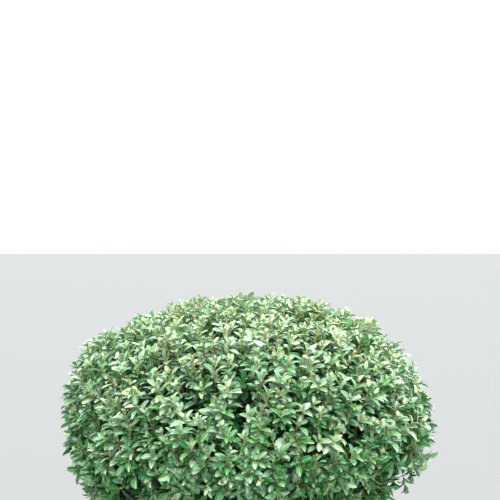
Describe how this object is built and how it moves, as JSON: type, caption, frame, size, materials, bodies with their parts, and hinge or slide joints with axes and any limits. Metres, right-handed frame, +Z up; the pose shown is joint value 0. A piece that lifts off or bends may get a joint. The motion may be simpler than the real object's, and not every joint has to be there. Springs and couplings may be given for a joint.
{
  "type": "potted inkberry holly",
  "caption": "Evergreen shrub with a broad, lightly clipped round crown of small leaves on many stems, growing in a plain round clay pot.",
  "frame": {"origin": "centre of the pot's flat underside", "axes": "+Z up; the side that the picture shows faces -Y, with +X on its right"},
  "size_m": [0.9842, 0.9877, 1.0105],
  "materials": {
    "clay": "matte fired clay",
    "soil": "rough potting mix",
    "bark": "grey-brown bark",
    "foliage": "satin leaves"
  },
  "bodies": {
    "root": {"pot": "clay", "potting_soil": "soil", "trunk": "bark", "bough_top": "bark", "bough_shoulder_1": "bark", "bough_shoulder_2": "bark", "bough_shoulder_3": "bark", "bough_shoulder_4": "bark", "bough_shoulder_5": "bark", "bough_skirt_1": "bark", "bough_skirt_2": "bark", "bough_skirt_3": "bark", "bough_skirt_4": "bark", "bough_skirt_5": "bark", "bough_skirt_6": "bark", "bough_skirt_7": "bark", "foliage_top": "foliage", "foliage_shoulder_1": "foliage", "foliage_shoulder_2": "foliage", "foliage_shoulder_3": "foliage", "foliage_shoulder_4": "foliage", "foliage_shoulder_5": "foliage", "foliage_skirt_1": "foliage", "foliage_skirt_2": "foliage", "foliage_skirt_3": "foliage", "foliage_skirt_4": "foliage", "foliage_skirt_5": "foliage", "foliage_skirt_6": "foliage", "foliage_skirt_7": "foliage"}
  },
  "joints": []
}
